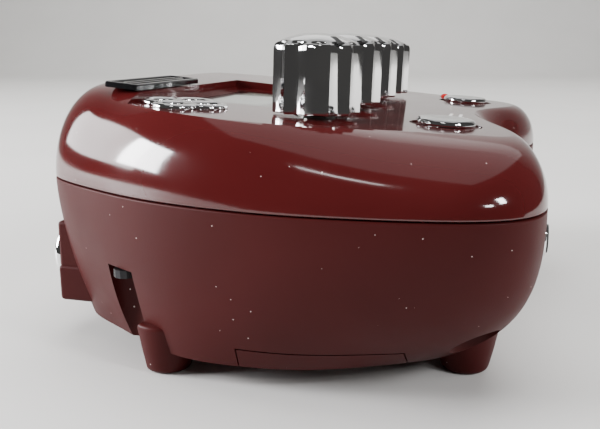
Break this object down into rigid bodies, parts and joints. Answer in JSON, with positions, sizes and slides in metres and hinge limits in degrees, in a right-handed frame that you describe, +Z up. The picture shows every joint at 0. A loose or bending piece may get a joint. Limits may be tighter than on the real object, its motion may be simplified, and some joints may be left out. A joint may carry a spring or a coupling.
{
  "type": "desktop audio effects unit",
  "caption": "Bean-shaped burgundy desktop audio effects unit with fluted chrome knobs in a row, push buttons, display window, rear jack panel and underside battery door.",
  "frame": {"origin": "middle of the bounding box, on the surface that the feet stand on", "axes": "+X along the row of knobs, which is the long side; +Y towards the jack panel at the back; +Z up"},
  "size_m": [0.152, 0.1196, 0.0752],
  "materials": {
    "upper_shell": "high gloss burgundy moulding, light dust",
    "lower_shell": "satin burgundy moulding with fine grain",
    "chrome": "bright plated, mirror polish",
    "steel": "plain plated steel",
    "black_plastic": "black moulding",
    "badge_plate": "gloss black plate",
    "display_window": "smoked grey-green display window",
    "circuit_board": "green solder resist",
    "cell_wrap": "printed film wrap, plain",
    "lamp_lens": "clear red lens"
  },
  "bodies": {
    "case": {"upper_shell": "upper_shell", "lower_shell": "lower_shell", "potentiometer_1": "steel", "battery_cell_1": "cell_wrap", "case_screw_1": "steel", "potentiometer_2": "steel", "battery_cell_2": "cell_wrap", "case_screw_2": "steel", "potentiometer_3": "steel", "battery_cell_3": "cell_wrap", "case_screw_3": "steel", "potentiometer_4": "steel", "battery_cell_4": "cell_wrap", "case_screw_4": "steel", "ornament": "chrome", "instrument_jack_nut": "chrome", "output_jack_nut": "chrome", "headphone_jack_nut": "chrome", "tap_switch": "black_plastic", "save_switch": "black_plastic", "navigation_switch": "black_plastic", "instrument_jack": "black_plastic", "output_jack": "black_plastic", "headphone_jack": "black_plastic", "aux_jack": "black_plastic", "power_inlet": "black_plastic", "battery_tray": "black_plastic", "board_connector": "black_plastic", "data_socket": "steel", "power_switch_body": "steel", "battery_contact_near": "steel", "battery_contact_far": "steel", "badge_plate": "badge_plate", "display_window": "display_window", "display_module": "circuit_board", "control_board": "circuit_board", "main_board": "circuit_board", "indicator_lamp": "lamp_lens"},
    "knob_1_body": {"knob_1": "chrome", "knob_shaft_1": "steel"},
    "knob_2_body": {"knob_2": "chrome", "knob_shaft_2": "steel"},
    "knob_3_body": {"knob_3": "chrome", "knob_shaft_3": "steel"},
    "knob_4_body": {"knob_4": "chrome", "knob_shaft_4": "steel"},
    "tap_button_body": {"tap_button": "chrome"},
    "save_button_body": {"save_button": "chrome"},
    "navigation_pad_body": {"navigation_pad": "chrome"},
    "power_slider_body": {"power_slider": "black_plastic"},
    "battery_door_body": {"battery_door": "lower_shell"}
  },
  "joints": [
    {"name": "knob_1_turn", "type": "hinge", "parent": "case", "child": "knob_1_body", "pos_m": [-0.044, -0.009, 0.0568], "axis": [0, -0.03, 0.9996], "range_deg": [-150, 150]},
    {"name": "knob_2_turn", "type": "hinge", "parent": "case", "child": "knob_2_body", "pos_m": [-0.0175, -0.009, 0.0568], "axis": [0, -0.03, 0.9996], "range_deg": [-150, 150]},
    {"name": "knob_3_turn", "type": "hinge", "parent": "case", "child": "knob_3_body", "pos_m": [0.009, -0.009, 0.0568], "axis": [0, -0.03, 0.9996], "range_deg": [-150, 150]},
    {"name": "knob_4_turn", "type": "hinge", "parent": "case", "child": "knob_4_body", "pos_m": [0.0355, -0.009, 0.0568], "axis": [0, -0.03, 0.9996], "range_deg": [-150, 150]},
    {"name": "tap_button_press", "type": "slide", "parent": "case", "child": "tap_button_body", "axis": [0, 0.0659, -0.9978], "range_m": [0, 0.0006], "stiffness_N_per_m": 400, "springref_m": -0.0005},
    {"name": "save_button_press", "type": "slide", "parent": "case", "child": "save_button_body", "axis": [0, 0.0659, -0.9978], "range_m": [0, 0.0006], "stiffness_N_per_m": 400, "springref_m": -0.0005},
    {"name": "navigation_pad_press", "type": "slide", "parent": "case", "child": "navigation_pad_body", "axis": [0, 0.0659, -0.9978], "range_m": [0, 0.0006], "stiffness_N_per_m": 400, "springref_m": -0.0005},
    {"name": "power_slider_slide", "type": "slide", "parent": "case", "child": "power_slider_body", "axis": [1, 0, 0], "range_m": [0, 0.0022]},
    {"name": "battery_door_slide", "type": "slide", "parent": "case", "child": "battery_door_body", "axis": [-1, 0, 0], "range_m": [0, 0.012]}
  ]
}
